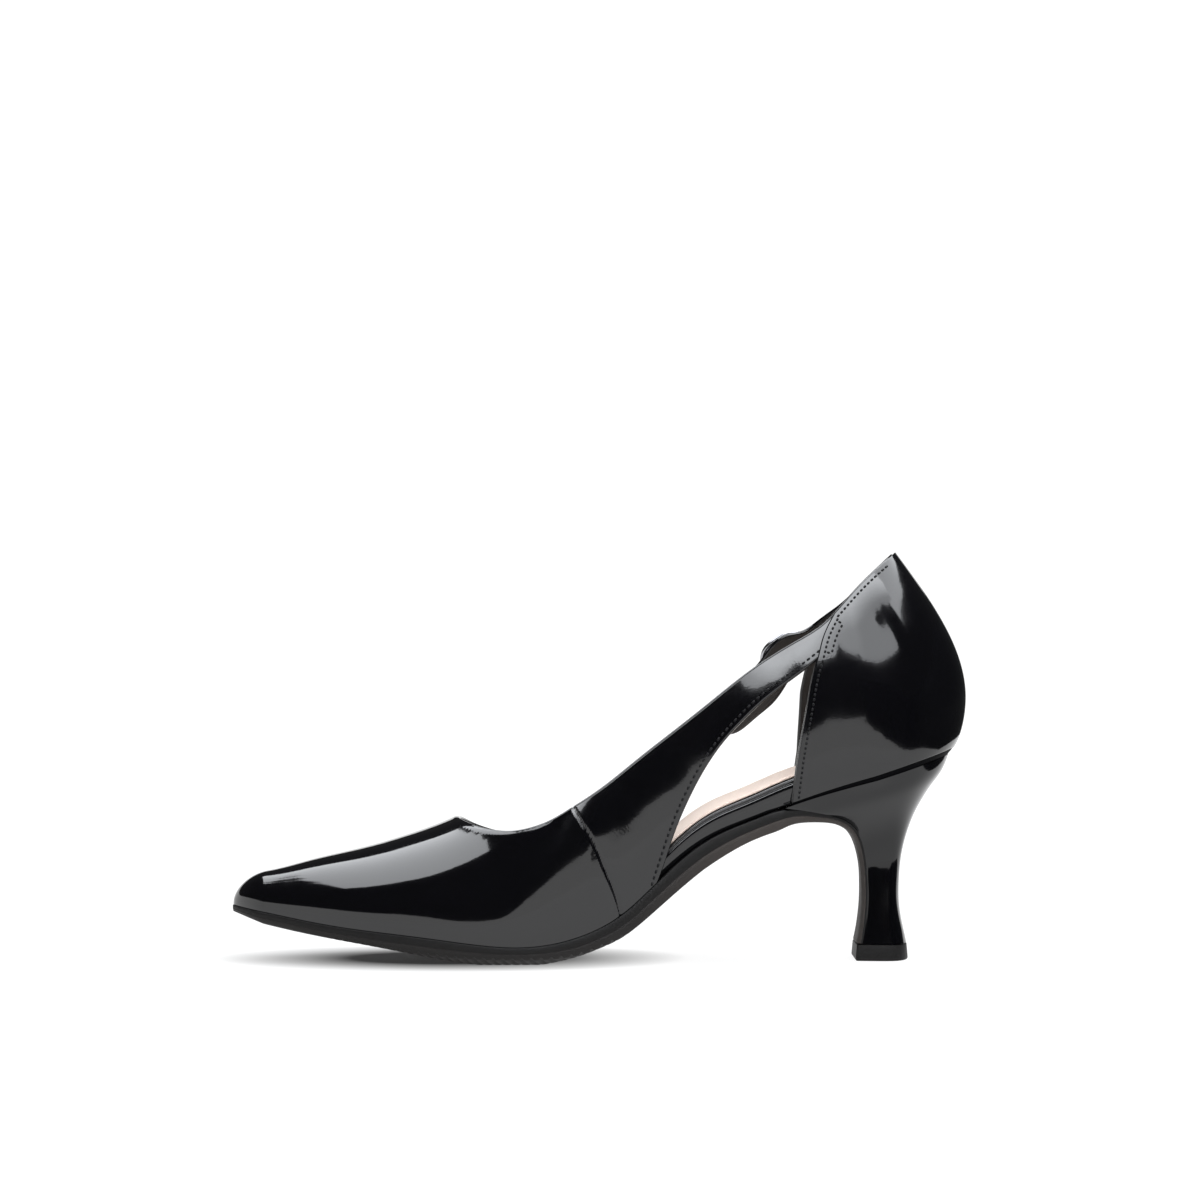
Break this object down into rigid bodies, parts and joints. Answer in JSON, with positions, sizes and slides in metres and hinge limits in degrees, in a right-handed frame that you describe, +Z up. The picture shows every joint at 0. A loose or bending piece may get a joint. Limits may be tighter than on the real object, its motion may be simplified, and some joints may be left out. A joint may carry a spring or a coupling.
{
  "type": "slim heel court shoe",
  "caption": "Pointed patent court shoe for a right foot, with open side windows, a buckled outer strap, an overlaid heel counter and a slim flared heel.",
  "frame": {"origin": "floor level, under the middle of the shoe's plan", "axes": "+X from toe to heel, +Y from the inner to the outer side of the foot, +Z up"},
  "size_m": [0.2435, 0.0772, 0.135],
  "materials": {
    "patent": "high-gloss black patent",
    "rubber": "matte dark grey",
    "suede": "soft beige nap",
    "steel": "polished grey"
  },
  "bodies": {
    "root": {"outsole": "rubber", "heel": "patent", "top_piece": "rubber", "insole": "patent", "sock": "suede", "upper": "patent", "counter": "patent", "buckle_frame": "steel", "buckle_prong": "steel"}
  },
  "joints": []
}
